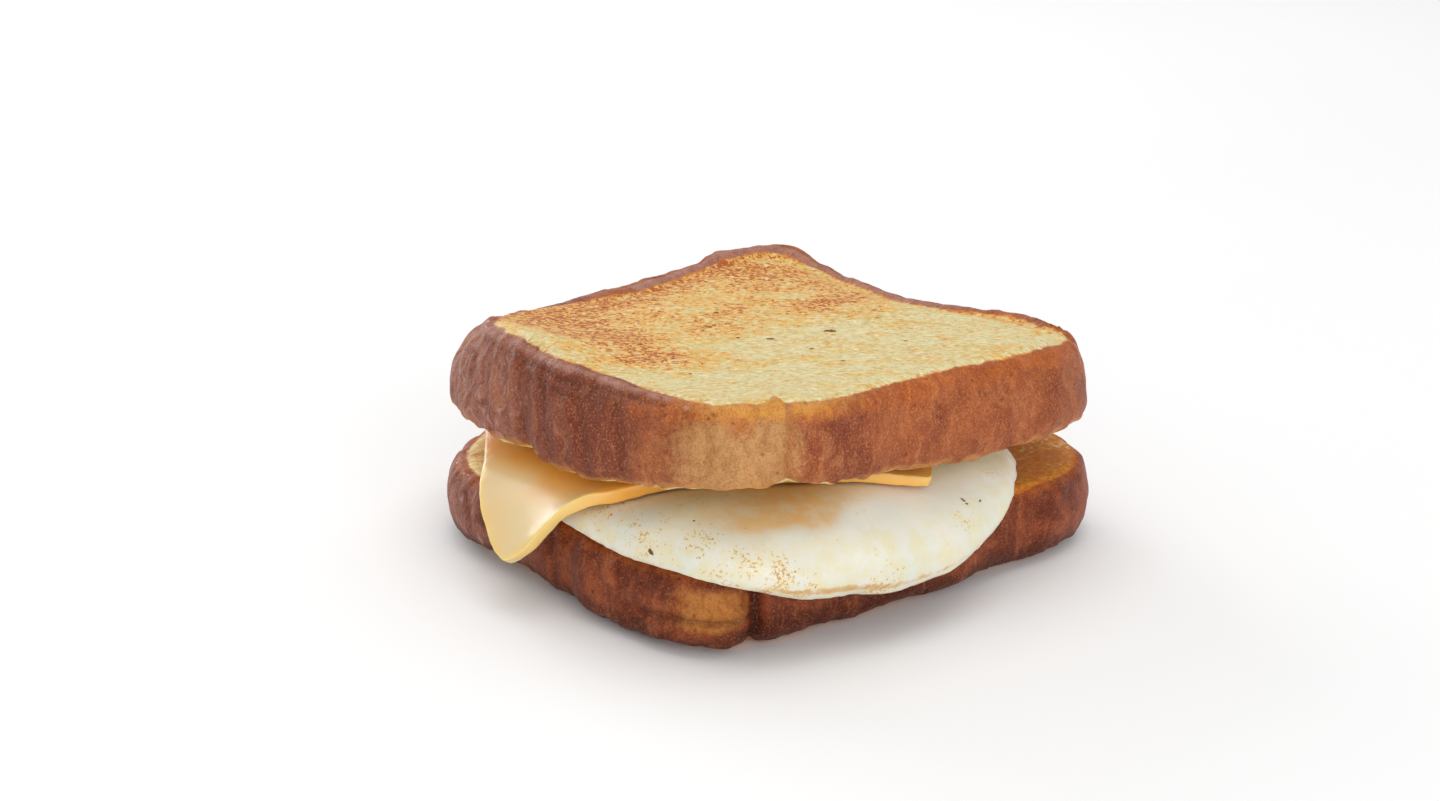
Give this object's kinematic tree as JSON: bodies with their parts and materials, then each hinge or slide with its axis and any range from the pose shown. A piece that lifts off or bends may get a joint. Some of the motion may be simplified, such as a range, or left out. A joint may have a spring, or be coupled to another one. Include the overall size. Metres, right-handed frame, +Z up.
{
  "type": "egg and cheese sandwich",
  "caption": "Toasted sandwich of griddled white bread filled with fried egg and melting cheese, which both hang out over the edge of the lower slice.",
  "frame": {"origin": "on the table, on the flat underside of the lower slice, below its middle", "axes": "+Z up; the loaf's domed top faces -Y, its flat base +Y, and its side walls -X and +X"},
  "size_m": [0.1152, 0.112, 0.0464],
  "materials": {
    "bread_bottom": "baked crust, slightly porous, satin",
    "fried_egg": "moist, browned in specks",
    "cheese_slice": "smooth, soft and glossy",
    "bread_top": "griddled crumb with a browned, waxy crust"
  },
  "bodies": {
    "root": {"bread_bottom": "bread_bottom", "fried_egg": "fried_egg", "cheese_slice": "cheese_slice", "bread_top": "bread_top"}
  },
  "joints": []
}
